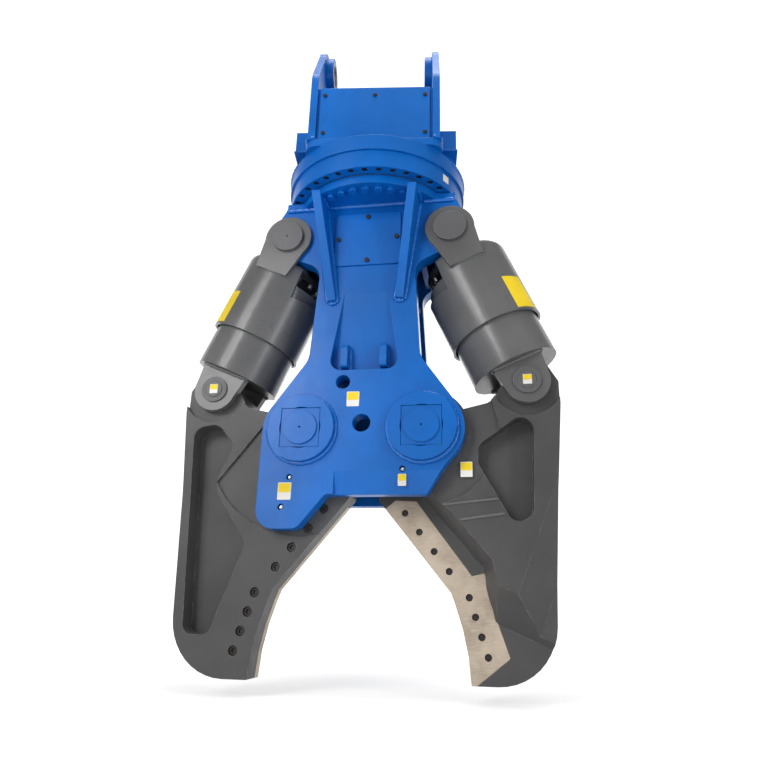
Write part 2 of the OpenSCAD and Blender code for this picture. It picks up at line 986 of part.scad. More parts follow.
// Two webs close the neck and two more the box under the top plate
module closing_webs() {
    low_x = web_x;
    high_x = eye_x - eye_plate_r - 1.1 * web_t;
    color(blue)
        in_body()
            for (half = [0, 180])
                rotate([0, 0, half]) {
                    block(
                        low_x - web_t, low_x, -plate_in, plate_in,
                        0.29 * body_height, 0.66 * body_height
                    );
                    block(
                        high_x - web_t, high_x, -plate_in, plate_in,
                        0.73 * body_height, body_height
                    );
                }
}

// Ribs under the top plate, on the front plate and on the rear plate
module ribs() {
    foot_z = rib_foot_z;
    foot_x = rib_foot_x;
    top_x = rib_top_x;
    deep = 105;
    lean = rib_lean;
    length = (body_height - foot_z) / cos(lean);
    color(blue)
        in_body()
            for (half = [0, 180], side = [-1, 1])
                rotate([0, 0, half])
                    intersection() {
                        translate([side * foot_x, -plate_out, foot_z])
                            rotate([0, side * lean, 0])
                                translate([-rib_t / 2, 0, 0])
                                    rotate([90, 0, 90])
                                        linear_extrude(rib_t)
                                            polygon([
                                                [0, 0], [-0.16 * deep, 0],
                                                [-deep, 0.97 * length],
                                                [-deep, 1.1 * length], [0, 1.1 * length]
                                            ]);
                        block(
                            -2 * top_x, 2 * top_x, -2 * plate_out, 0,
                            0, body_height
                        );
                    }
}

function panel_places() = [
    [-0.44 * panel_w, panel_z], [0.44 * panel_w, panel_z],
    [0, panel_z - 0.42 * panel_h], [0, panel_z + 0.42 * panel_h]
];

module access_panels() {
    corner_r = 14;
    color(blue)
        in_body()
            for (half = [0, 180])
                rotate([0, 0, half])
                    difference() {
                        slab(-plate_out - panel_t, -plate_out)
                            polygon(rounded([
                                for (c = [[-0.5, -0.5], [0.5, -0.5], [0.5, 0.5], [-0.5, 0.5]])
                                    [c.x * panel_w, panel_z + c.y * panel_h, corner_r]
                            ]));
                        for (p = panel_places())
                            bar_y(
                                p.x, p.y, 0.55 * panel_screw_r,
                                -plate_out - panel_t - cut, -plate_out + cut, $fn = 16
                            );
                    }
}

// Screws of the panels, and those of the webs seen at the sides of the neck
module body_bolts() {
    bolt_r = panel_screw_r;
    color(dark)
        in_body()
            for (half = [0, 180])
                rotate([0, 0, half]) {
                    for (p = panel_places())
                        screw_y(
                            p.x, -plate_out - panel_t, p.y,
                            bolt_r, 0.6 * bolt_r, panel_t, $fn = 16
                        );
                    for (i = [0:4], y = [-0.7, 0.7])
                        translate([web_x, y * plate_in, (0.33 + 0.07 * i) * body_height])
                            rotate([0, 90, 0])
                                cylinder(r = 1.3 * bolt_r, h = bolt_r, $fn = 6);
                }
}

// Two lugs with an eye stand in the window of each plate
module hose_lugs() {
    lug_w = 21;
    lug_x = 60;
    eye_r = 9;
    foot = window_foot + eye_r;
    head = foot + 0.1 * body_height;
    stand = 8;
    weld_gap = 0.1;
    face = -plate_out - stand;
    seat = -plate_out - weld_gap;
    back_foot = seat + (window_top - foot) * tan(window_slope);
    back_head = seat + (window_top - head) * tan(window_slope);
    color(blue)
        in_body()
            for (half = [0, 180], side = [-1, 1])
                rotate([0, 0, half])
                    translate([side * lug_x - lug_w / 2, 0, 0])
                        rotate([90, 0, 90])
                            linear_extrude(lug_w)
                                difference() {
                                    polygon(rounded([
                                        [back_foot, foot, 0], [back_head, head, 0],
                                        [face, head, 2 * eye_r], [face, foot, eye_r]
                                    ]));
                                    translate([face + 2 * eye_r, (foot + head) / 2])
                                        circle(r = eye_r, $fn = 24);
                                }
}

// Collars round the pivot pins, with a square recess for the head of the pin
module pivot_collars() {
    head_gap = 1;
    color(blue)
        in_body()
            for (half = [0, 180], side = [-1, 1])
                rotate([0, 0, half])
                    difference() {
                        bar_y(side * hub_x, 0, collar_r, -plate_out - collar_t, -plate_out,
                            $fn = 72);
                        bar_y(
                            side * hub_x, 0, pin_r,
                            -plate_out - collar_t - cut, -plate_out + cut
                        );
                        block(
                            side * hub_x - square / 2 - head_gap,
                            side * hub_x + square / 2 + head_gap,
                            -plate_out - collar_t - cut, -plate_out - collar_t + recess,
                            -square / 2 - head_gap, square / 2 + head_gap
                        );
                    }
}

module thrust_washers() {
    washer_inset = 8;
    color(bronze)
        in_body()
            for (half = [0, 180], side = [-1, 1])
                rotate([0, 0, half])
                    difference() {
                        bar_y(
                            side * hub_x, 0, hub_plate_r - washer_inset,
                            -plate_in, -jaw_face - free_fit
                        );
                        bar_y(
                            side * hub_x, 0, pin_r,
                            -plate_in - cut, -jaw_face + cut
                        );
                    }
}

// Pivot pin: square head at the front with a raised round face, plain end at the back
module pivot_pin(side) {
    head = 0.8 * recess;
    centre_r = 3;
    face = plate_out + collar_t;
    color(blue)
        in_body()
            difference() {
                union() {
                    bar_y(side * hub_x, 0, pin_r, -face + recess, face - recess, $fn = 64);
                    block(
                        side * hub_x - square / 2, side * hub_x + square / 2,
                        -face + recess - head, -face + recess,
                        -square / 2, square / 2
                    );
                    bar_y(side * hub_x, 0, 0.41 * pivot_pin_d, -face - head / 2, -face + recess);
                }
                bar_y(side * hub_x, 0, centre_r, -face - head, -face + head, $fn = 16);
            }
}

module left_pivot_pin() {
    pivot_pin(-1);
}

module right_pivot_pin() {
    pivot_pin(1);
}

// Square keepers in the rear collars hold the plain ends of the pins
module pin_keepers() {
    face = plate_out + collar_t;
    color(blue)
        in_body()
            for (side = [-1, 1])
                block(
                    side * hub_x - square / 2, side * hub_x + square / 2,
                    face - recess, face + 0.4 * recess,
                    -square / 2, square / 2
                );
}

module keeper_bolts() {
    face = plate_out + collar_t + 0.4 * recess;
    bolt_r = 11;
    head = 8;
    spread = 0.32 * square;
    color(dark)
        in_body()
            for (side = [-1, 1], x = [-spread, spread], z = [-spread, spread])
                translate([side * hub_x + x, face, z])
                    rotate([-90, 0, 0])
                        cylinder(r = bolt_r, h = head, $fn = 6);
}

// Grease nipples at the bottom of their holes in both plates
module grease_nipples() {
    body_r = 5;
    tip_r = 3;
    tip_t = 4;
    step = grease_seat - 2 * body_r;
    color(steel)
        in_body()
            for (half = [0, 180])
                rotate([0, 0, half])
                    for (p = grease_shares) {
                        bar_y(p.x * hub_x, p.y * hub_x, body_r, step, grease_seat, $fn = 16);
                        bar_y(p.x * hub_x, p.y * hub_x, tip_r, step - tip_t, step, $fn = 16);
                    }
}

// Jaws

function scaled(shares) = [for (p = shares) p * jaw_reach];

module shares_slab(shares, y0, y1) {
    slab(y0, y1)
        polygon(rounded(scaled(shares)));
}

// Everything to the left of the line from share p to share q at the depth y, behind a plane
// that leans back as y grows
module beyond(p, q, y, lean) {
    big = 3 * jaw_reach;
    translate([p.x * jaw_reach, y, p.y * jaw_reach])
        rotate([0, -atan2(q.y - p.y, q.x - p.x), 0])
            rotate([-lean, 0, 0])
                translate([-big / 2, -big / 2, 0])
                    cube([big, big, big / 2]);
}

// The side of the other jaw beyond the shear face
module other_side() {
    big = 2 * jaw_reach;
    intersection() {
        block(-big, big, -shear_face, jaw_width, -big, big);
        beyond(wall_shares[0], wall_shares[1], 0, wall_lean);
        beyond(wall_shares[1], wall_shares[2], 0, wall_lean);
        beyond(wall_shares[2], wall_shares[3], 0, wall_lean);
    }
}

module toe_side() {
    big = 2 * jaw_reach;
    intersection() {
        block(-big, big, -shear_face, jaw_width, -big, big);
        beyond(toe_shares[0], toe_shares[1], jaw_face + face_step, toe_lean);
    }
}

module cheek_side() {
    big = 2 * jaw_reach;
    intersection() {
        block(-big, big, 0.1 * jaw_width, jaw_width, -big, 0);
        beyond(cheek_shares[0], cheek_shares[1], jaw_face + face_step, cheek_lean);
    }
}

module upper_holes(y0, y1, r) {
    for (i = [0:3])
        let (p = (upper_hole_share + i * upper_pitch_share) * jaw_reach)
        bar_y(p.x, p.y, r, y0, y1, $fn = 24);
}

module lower_holes(y0, y1, r) {
    for (i = [0:3])
        let (p = (lower_hole_share + i * lower_pitch_share) * jaw_reach)
        bar_y(p.x, p.y, r, y0, y1, $fn = 24);
}

// Left jaw round its pivot: blades at its back, thick half away from them, pockets both sides
module jaw() {
    out = jaw_face + face_step;
    floor_gap = face_step / 16;
    recess_line = 1.5 * lobe_clear_r;
    bolt_seat = -out + bolt_sink;
    difference() {
        union() {
            difference() {
                slab(-out, out)
                    polygon(rounded(scaled(jaw_shares)));
                other_side();
                toe_side();
                cheek_side();
                // the front face steps down where the lobe of the body plate passes
                intersection() {
                    bar_y(0, 0, lobe_clear_r, -out - cut, -jaw_face + floor_gap, $fn = 96);
                    rotate([0, 37.3, 0])
                        block(
                            -0.41 * lobe_clear_r, recess_line,
                            -out - 2 * cut, -jaw_face + 2 * floor_gap,
                            -recess_line, recess_line
                        );
                }
                // the rear face steps down round the pivot
                bar_y(0, 0, hub_clear_r, jaw_face - floor_gap, out + cut, $fn = 96);
            }
            bar_y(0, 0, hub_r, -jaw_face, jaw_face, $fn = 72);
        }
        bar_y(0, 0, jaw_bush_r, -out - cut, out + cut);
        slab(-out - cut, -out + pocket_depth)
            polygon(rounded(scaled(front_pocket_shares)));
        slab(out - pocket_depth, out + cut)
            polygon(rounded(scaled(rear_pocket_shares)));
        // the arm is thinner round the rod pin, and its bore has play for the opened pivot
        for (y = [-1, 1])
            bar_y(
                -arm_x, arm_z, arm_clear_r,
                y > 0 ? arm_face : -out - cut,
                y > 0 ? out + cut : -arm_face
            );
        bar_y(-arm_x, arm_z, rod_pin_d / 2 + pivot_play, -out - cut, out + cut);
        // seat and screw holes of the blades
        shares_slab(blade_seat_shares, -shear_face - blade_t, 2 * cut);
        upper_holes(-out - cut, 0, blade_screw_r);
        lower_holes(-out - cut, 0, blade_screw_r);
        upper_holes(-out - cut, bolt_seat, blade_head_r);
        lower_holes(-out - cut, bolt_seat, blade_head_r);
    }
}

module jaw_bushes() {
    for (y = [-jaw_face, bush_gap])
        difference() {
            bar_y(0, 0, jaw_bush_r, y, y + jaw_face - bush_gap);
            bar_y(0, 0, pin_r + running_fit, y - cut, y + jaw_face);
        }
}

module upper_blade() {
    difference() {
        shares_slab(upper_blade_shares, -shear_face - blade_t, -shear_face);
        upper_holes(-shear_face - blade_t - cut, cut, blade_screw_r);
    }
}

module lower_blade() {
    difference() {
        shares_slab(lower_blade_shares, -shear_face - blade_t, -shear_face);
        lower_holes(-shear_face - blade_t - cut, cut, blade_screw_r);
    }
}

// Socket screws from the front face of the jaw into the blades
module blade_bolts() {
    out = jaw_face + face_step;
    for (i = [0:7]) {
        p = (i < 4
            ? upper_hole_share + i * upper_pitch_share
            : lower_hole_share + (i - 4) * lower_pitch_share) * jaw_reach;
        seat = -out + bolt_sink;
        head = 14;
        socket = 8;
        head_gap = 1;
        shank_gap = 0.5;
        grip = 8;
        difference() {
            bar_y(p.x, p.y, blade_head_r - head_gap, seat - head, seat, $fn = 24);
            bar_hex(p.x, seat - socket, p.y, 0.55 * blade_head_r, socket);
        }
        bar_y(p.x, p.y, blade_screw_r - shank_gap, seat, -shear_face - grip, $fn = 24);
    }
}

module left_jaw() {
    color(grey)
        in_left_jaw()
            jaw();
}

module left_jaw_bushes() {
    color(bronze)
        in_left_jaw()
            jaw_bushes();
}

module left_upper_blade() {
    color(blade_tan)
        in_left_jaw()
            upper_blade();
}

module left_lower_blade() {
    color(blade_tan)
        in_left_jaw()
            lower_blade();
}

module left_blade_bolts() {
    color(dark)
        in_left_jaw()
            blade_bolts();
}

module right_jaw() {
    color(grey)
        in_right_jaw()
            jaw();
}

module right_jaw_bushes() {
    color(bronze)
        in_right_jaw()
            jaw_bushes();
}

module right_upper_blade() {
    color(blade_tan)
        in_right_jaw()
            upper_blade();
}

module right_lower_blade() {
    color(blade_tan)
        in_right_jaw()
            lower_blade();
}

module right_blade_bolts() {
    color(dark)
        in_right_jaw()
            blade_bolts();
}

// Cylinders

module barrel() {
    eye_gap = 4;
    eye_lip = 2;
    eye_half = plate_in - eye_gap;
    eye_r = eye_plate_r + eye_lip;
    difference() {
        union() {
            bar_y(0, 0, eye_r, -eye_half, eye_half);
            block(-eye_r, eye_r, -eye_half, eye_half, -base_flange_s, 0);
            tube(base_flange_r, base_flange_s, base_flange_s + base_flange_t);
            tube(barrel_r, base_flange_s, barrel_end);
        }
        bar_y(0, 0, eye_pin_d / 2, -eye_half - cut, eye_half + cut);
        tube(cylinder_bore / 2, base_flange_s + base_flange_t, barrel_end + cut);
    }
}

module base_bolts() {
    bolt_r = 9;
    count = 14;
    head = 13;
    inset = 12;
    for (i = [0:count - 1])
        rotate([0, 0, i * 360 / count])
            translate([
                base_flange_r - inset, 0, -base_flange_s - base_flange_t - head
            ])
                cylinder(r = bolt_r, h = head, $fn = 16);
}

module gland() {
    difference() {
        union() {
            tube(cylinder_bore / 2, barrel_end - 2 * gland_t, barrel_end);
            tube(barrel_r, barrel_end, barrel_end + 0.5 * gland_t);
        }
        tube(rod_d / 2 + free_fit, barrel_end - 3 * gland_t, barrel_end + gland_t);
    }
}

// Guard: cheeks from the upper pin, round shell, notch beside the body
module guard() {
    notch = [
        [0.56 * guard_r, -guard_start + 2 * cut], [0.60 * guard_r, -0.52 * guard_end],
        [1.2 * guard_r, -0.44 * guard_end], [1.2 * guard_r, -guard_start + 2 * cut]
    ];
    round_r = 26;
    difference() {
        union() {
            rotate_extrude($fn = 96)
                polygon(concat(
                    [[0, -guard_start]],
                    [for (a = [90:-15:0])
                        [guard_r - round_r + round_r * cos(a),
                            -guard_start - round_r + round_r * sin(a)]],
                    [
                        [guard_r, -guard_end], [guard_r - guard_wall, -guard_end],
                        [guard_r - guard_wall, -guard_start - round_r],
                        [guard_r - round_r, -guard_start - guard_wall],
                        [0, -guard_start - guard_wall]
                    ]
                ));
            for (side = [-1, 1])
                slab(
                    side < 0 ? -cheek_in - cheek_t : cheek_in,
                    side < 0 ? -cheek_in : cheek_in + cheek_t
                )
                    union() {
                        circle(r = cheek_r, $fn = 72);
                        polygon([
                            [-0.98 * cheek_r, 0], [0.98 * cheek_r, 0],
                            [0.72 * cheek_r, -2 * guard_start],
                            [-0.72 * cheek_r, -2 * guard_start]
                        ]);
                    }
        }
        // room for the base of the barrel
        tube(1.8 * eye_plate_r, guard_start - cut, guard_start + guard_wall + cut);
        bar_y(0, 0, eye_pin_d / 2, -2 * guard_r, 2 * guard_r);
        slab(-2 * guard_r, 2 * guard_r)
            polygon(notch);
    }
}

module eye_pin() {
    head_r = 52;
    head = 12;
    centre_r = 3;
    face = cheek_in + cheek_t;
    difference() {
        union() {
            bar_y(0, 0, eye_pin_d / 2, -face, face, $fn = 64);
            for (side = [-1, 1])
                bar_y(
                    0, 0, head_r,
                    side < 0 ? -face - head : face,
                    side < 0 ? -face : face + head
                );
        }
        bar_y(0, 0, centre_r, -face - head - cut, -face - head / 2, $fn = 16);
    }
}

module rod() {
    piston_t = 40;
    piston_s = base_flange_s + base_flange_t + piston_t / 4;
    union() {
        tube(cylinder_bore / 2 - free_fit, piston_s, piston_s + piston_t);
        tube(rod_d / 2, piston_s, sleeve_end - sleeve_floor);
    }
}

// Sleeve: cup that slides in the guard, with two lugs for the rod pin
module sleeve() {
    lug_foot = 77;
    bite = 1;
    difference() {
        union() {
            tube(sleeve_r, sleeve_start, sleeve_end);
            for (side = [-1, 1])
                slab(
                    side < 0 ? -lug_in - lug_t : lug_in,
                    side < 0 ? -lug_in : lug_in + lug_t
                ) {
                    translate([0, -cylinder_len])
                        circle(r = lug_r, $fn = 64);
                    polygon([
                        [-lug_foot, bite - sleeve_end], [lug_foot, bite - sleeve_end],
                        [lug_r, -cylinder_len], [-lug_r, -cylinder_len]
                    ]);
                }
        }
        tube(sleeve_r - sleeve_wall, sleeve_start - cut, sleeve_end - sleeve_floor);
        bar_y(0, -cylinder_len, rod_pin_d / 2, -guard_r, guard_r);
    }
}

module rod_pin() {
    cap = 6;
    cap_r = rod_pin_d / 2 + cap;
    face = lug_in + lug_t;
    knob = 1.5 * cap;
    translate([0, 0, -cylinder_len])
        union() {
            bar_y(0, 0, rod_pin_d / 2, -face, face);
            for (side = [-1, 1]) {
                bar_y(0, 0, cap_r, side < 0 ? -face - cap : face, side < 0 ? -face : face + cap);
                bar_y(
                    0, 0, 0.63 * cap_r,
                    side < 0 ? -face - knob : face + cap,
                    side < 0 ? -face - cap : face + knob
                );
            }
        }
}

module left_barrel() {
    color(dark)
        in_left_cylinder()
            barrel();
}

module left_base_bolts() {
    color(steel)
        in_left_cylinder()
            base_bolts();
}

module left_gland() {
    color(dark)
        in_left_cylinder()
            gland();
}

module left_guard() {
    color(grey)
        in_left_cylinder()
            guard();
}

module left_eye_pin() {
    color(grey)
        in_left_cylinder()
            eye_pin();
}

module left_rod() {
    color(steel)
        in_left_cylinder()
            rod();
}

module left_sleeve() {
    color(grey)
        in_left_cylinder()
            sleeve();
}

module left_rod_pin() {
    color(grey)
        in_left_cylinder()
            rod_pin();
}

module right_barrel() {
    color(dark)
        in_right_cylinder()
            barrel();
}

module right_base_bolts() {
    color(steel)
        in_right_cylinder()
            base_bolts();
}

module right_gland() {
    color(dark)
        in_right_cylinder()
            gland();
}

module right_guard() {
    color(grey)
        in_right_cylinder()
            guard();
}

module right_eye_pin() {
    color(grey)
        in_right_cylinder()
            eye_pin();
}

module right_rod() {
    color(steel)
        in_right_cylinder()
            rod();
}

module right_sleeve() {
    color(grey)
        in_right_cylinder()
            sleeve();
}

module right_rod_pin() {
    color(grey)
        in_right_cylinder()
            rod_pin();
}

bracket_base();
left_ear();
right_ear();
ear_bosses();
bracket_bushes();
bracket_walls();
covers();
cover_screws();
left_motor();
right_motor();
outer_race();
race_bolts();
swivel_housing();
left_pinion();
right_pinion();
inner_race();
slew_gear();
underside_bolts();
swivel_core();
top_plate();
front_plate();
rear_plate();
closing_webs();
ribs();
access_panels();
body_bolts();
hose_lugs();
pivot_collars();
thrust_washers();
left_pivot_pin();
right_pivot_pin();
pin_keepers();
keeper_bolts();
grease_nipples();
left_jaw();
left_jaw_bushes();
left_upper_blade();
left_lower_blade();
left_blade_bolts();
right_jaw();
right_jaw_bushes();
right_upper_blade();
right_lower_blade();
right_blade_bolts();
left_barrel();
left_base_bolts();
left_gland();
left_guard();
left_eye_pin();
left_rod();
left_sleeve();
left_rod_pin();
right_barrel();
right_base_bolts();
right_gland();
right_guard();
right_eye_pin();
right_rod();
right_sleeve();
right_rod_pin();
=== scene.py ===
import json
import math

import bmesh
import bpy
from mathutils import Matrix, Vector


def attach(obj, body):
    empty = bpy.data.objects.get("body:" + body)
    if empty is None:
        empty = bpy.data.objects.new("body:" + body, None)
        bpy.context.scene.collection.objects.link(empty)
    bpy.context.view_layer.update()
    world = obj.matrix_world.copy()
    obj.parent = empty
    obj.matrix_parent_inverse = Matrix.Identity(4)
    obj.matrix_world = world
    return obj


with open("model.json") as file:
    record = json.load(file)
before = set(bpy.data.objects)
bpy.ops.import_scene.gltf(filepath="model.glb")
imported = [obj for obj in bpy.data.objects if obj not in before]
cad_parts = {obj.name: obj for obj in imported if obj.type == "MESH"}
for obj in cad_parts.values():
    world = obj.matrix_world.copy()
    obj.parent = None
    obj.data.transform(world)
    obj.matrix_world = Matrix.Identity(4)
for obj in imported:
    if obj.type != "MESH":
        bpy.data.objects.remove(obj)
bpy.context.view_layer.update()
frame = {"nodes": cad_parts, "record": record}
nodes = frame["nodes"]

# Places in millimetres of the body, whose origin lies midway between the jaw pivots
SLEW_Y = 0.075
PIVOT_Z = -1.365
TURN = -6.5
PLATE_FACE = 140
HUB_X = 179
EYE = Vector((-265, 0, 650))
CYLINDER_ANGLE = math.atan2(219, 504)
PIN_TO_PIN = math.hypot(219, 504)
GUARD_R = 151
RACE_R = 298.3
SLEEVE_END = PIN_TO_PIN - 70
LEAN = math.atan2(48, 351)
JAW_FACE = 93
PIN_KNOB = 112.5
RIB_FOOT_X = 107
RIB_RISE = 351
RIB_FOOT_Z = 409
RIB_EDGE = 206
DECK_Z = 761
LUG_X = 60
LUG_FOOT = 192
LUG_HEAD = 268
WINDOW_TOP = 438.7
WINDOW_SLOPE = 0.75 * 52 / (0.335 * 763)
WEB_X = 141.5
WEB_Y = 86
PIN_X = 484
PIN_Z = 146
MM = 0.001

# Metres: the floor, and the distances over which its glow grows to plain white
FLOOR_Z = -2.10
NEAR_FLOOR = 2.25
FAR_FLOOR = 3.6


def body_place(half=0):
    return (
        Matrix.Translation((0, SLEW_Y, PIVOT_Z))
        @ Matrix.Rotation(math.radians(TURN + half), 4, "Z")
        @ Matrix.Scale(MM, 4)
    )


def bracket_place():
    return Matrix.Translation((0, SLEW_Y, -0.428)) @ Matrix.Scale(MM, 4)


def cylinder_place(half):
    return (
        body_place(half)
        @ Matrix.Translation(EYE)
        @ Matrix.Rotation(CYLINDER_ANGLE, 4, "Y")
    )


# Shader groups


def new_group(name, inputs, outputs):
    group = bpy.data.node_groups.new(name, "ShaderNodeTree")
    for label, kind, value in inputs:
        socket = group.interface.new_socket(label, in_out="INPUT", socket_type=kind)
        socket.default_value = value
    for label, kind in outputs:
        group.interface.new_socket(label, in_out="OUTPUT", socket_type=kind)
    start = group.nodes.new("NodeGroupInput")
    end = group.nodes.new("NodeGroupOutput")
    return group, start, end


def add(tree, kind, **settings):
    node = tree.nodes.new(kind)
    for key, value in settings.items():
        setattr(node, key, value)
    return node


def math_node(tree, operation, first, second=None, third=None, clamp=False):
    node = add(tree, "ShaderNodeMath", operation=operation, use_clamp=clamp)
    for socket, value in zip(node.inputs, (first, second, third)):
        if value is None:
            continue
        if isinstance(value, (int, float)):
            socket.default_value = value
        else:
            tree.links.new(value, socket)
    return node.outputs[0]


def noise(tree, coordinates, scale, detail=3.0, roughness=0.55, stretch=None):
    if stretch:
        mapping = add(tree, "ShaderNodeMapping")
        mapping.inputs["Scale"].default_value = stretch
        tree.links.new(coordinates, mapping.inputs["Vector"])
        coordinates = mapping.outputs[0]
    node = add(tree, "ShaderNodeTexNoise")
    node.inputs["Detail"].default_value = detail
    node.inputs["Roughness"].default_value = roughness
    if isinstance(scale, (int, float)):
        node.inputs["Scale"].default_value = scale
    else:
        tree.links.new(scale, node.inputs["Scale"])
    tree.links.new(coordinates, node.inputs["Vector"])
    return node.outputs[0]


def smooth_range(tree, value, low, high):
    node = add(tree, "ShaderNodeMapRange", interpolation_type="SMOOTHSTEP")
    node.inputs["From Min"].default_value = low
    node.inputs["From Max"].default_value = high
    tree.links.new(value, node.inputs["Value"])
    return node.outputs[0]


def build_edge_group():
    group, start, end = new_group(
        "rounded_edges",
        [("Radius", "NodeSocketFloat", 0.003), ("Patches", "NodeSocketFloat", 30.0)],
        [("Wear_and_highlight", "NodeSocketFloat"), ("Normal", "NodeSocketVector")],
    )
    place = add(group, "ShaderNodeTexCoord").outputs["Object"]
    bevel = add(group, "ShaderNodeBevel", samples=4)
    group.links.new(start.outputs["Radius"], bevel.inputs["Radius"])
    surface = add(group, "ShaderNodeNewGeometry")
    dot = add(group, "ShaderNodeVectorMath", operation="DOT_PRODUCT")
    group.links.new(bevel.outputs[0], dot.inputs[0])
    group.links.new(surface.outputs["Normal"], dot.inputs[1])
    turned = math_node(group, "SUBTRACT", 1.0, dot.outputs["Value"], clamp=True)
    patches = noise(group, place, start.outputs["Patches"], 4.0, 0.65)
    # Edge mask broken into patches: edges are lightened partly as worn paint and partly as a
    # painted highlight along them.
    rough_edge = math_node(group, "MULTIPLY", turned, 5.0, clamp=True)
    broken = smooth_range(group, patches, 0.42, 0.62)
    wear = math_node(group, "MULTIPLY", rough_edge, broken, clamp=True)
    group.links.new(wear, end.inputs["Wear_and_highlight"])
    group.links.new(bevel.outputs[0], end.inputs["Normal"])
    return group


def build_paint_group():
    group, start, end = new_group(
        "paint_skin",
        [("Clouds", "NodeSocketFloat", 3.0), ("Peel", "NodeSocketFloat", 260.0)],
        [
            ("Tone", "NodeSocketFloat"),
            ("Gloss", "NodeSocketFloat"),
            ("Height", "NodeSocketFloat"),
            ("Scuff", "NodeSocketFloat"),
        ],
    )
    place = add(group, "ShaderNodeTexCoord").outputs["Object"]
    clouds = noise(group, place, start.outputs["Clouds"], 5.0, 0.6)
    smudges = noise(group, place, 14.0, 6.0, 0.7)
    peel = noise(group, place, start.outputs["Peel"], 2.0, 0.5)
    runs = noise(group, place, 9.0, 3.0, 0.5, stretch=(6.0, 6.0, 0.8))
    scratches = noise(group, place, 34.0, 3.0, 0.75, stretch=(1.0, 1.0, 5.0))
    group.links.new(clouds, end.inputs["Tone"])
    gloss = math_node(group, "ADD", math_node(group, "MULTIPLY", smudges, 0.65),
                      math_node(group, "MULTIPLY", runs, 0.35))
    group.links.new(gloss, end.inputs["Gloss"])
    group.links.new(peel, end.inputs["Height"])
    group.links.new(smooth_range(group, scratches, 0.70, 0.78), end.inputs["Scuff"])
    return group


def build_dust_group():
    group, start, end = new_group(
        "settled_dust",
        [("Level", "NodeSocketFloat", 0.3)],
        [("Dust", "NodeSocketFloat")],
    )
    place = add(group, "ShaderNodeTexCoord").outputs["Object"]
    surface = add(group, "ShaderNodeNewGeometry")
    parts = add(group, "ShaderNodeSeparateXYZ")
    group.links.new(surface.outputs["Normal"], parts.inputs[0])
    upward = smooth_range(group, parts.outputs["Z"], 0.35, 1.0)
    blotch = noise(group, place, 22.0, 5.0, 0.65)
    amount = math_node(group, "MULTIPLY", upward, smooth_range(group, blotch, 0.35, 0.7))
    dust = math_node(group, "MULTIPLY", amount, start.outputs["Level"], clamp=True)
    group.links.new(dust, end.inputs["Dust"])
    return group


def build_machining_group():
    group, start, end = new_group(
        "machining_marks",
        [("Fine", "NodeSocketFloat", 60.0)],
        [
            ("Streak", "NodeSocketFloat"),
            ("Blotch", "NodeSocketFloat"),
            ("Height", "NodeSocketFloat"),
        ],
    )
    place = add(group, "ShaderNodeTexCoord").outputs["Object"]
    streak = noise(group, place, start.outputs["Fine"], 3.0, 0.6, stretch=(0.5, 0.5, 7.0))
    blotch = noise(group, place, 11.0, 5.0, 0.65)
    group.links.new(streak, end.inputs["Streak"])
    group.links.new(blotch, end.inputs["Blotch"])
    group.links.new(streak, end.inputs["Height"])
    return group


EDGES = build_edge_group()
SKIN = build_paint_group()
DUST = build_dust_group()
MARKS = build_machining_group()


def use_group(tree, group, **values):
    node = add(tree, "ShaderNodeGroup", node_tree=group)
    for key, value in values.items():
        node.inputs[key].default_value = value
    return node


def mix_colour(tree, factor, first, second):
    node = add(tree, "ShaderNodeMix", data_type="RGBA")
    sockets = {s.identifier: s for s in node.inputs}
    if isinstance(factor, (int, float)):
        sockets["Factor_Float"].default_value = factor
    else:
        tree.links.new(factor, sockets["Factor_Float"])
    for value, socket in ((first, sockets["A_Color"]), (second, sockets["B_Color"])):
        if isinstance(value, tuple):
            socket.default_value = (*value, 1.0)
        else:
            tree.links.new(value, socket)
    return [s for s in node.outputs if s.identifier == "Result_Color"][0]


def shade(colour, amount):
    return tuple(min(1.0, max(0.0, c * amount)) for c in colour)


def new_material(name):
    material = bpy.data.materials.new(name)
    material.use_nodes = True
    tree = material.node_tree
    shader = tree.nodes["Principled BSDF"]
    return material, tree, shader


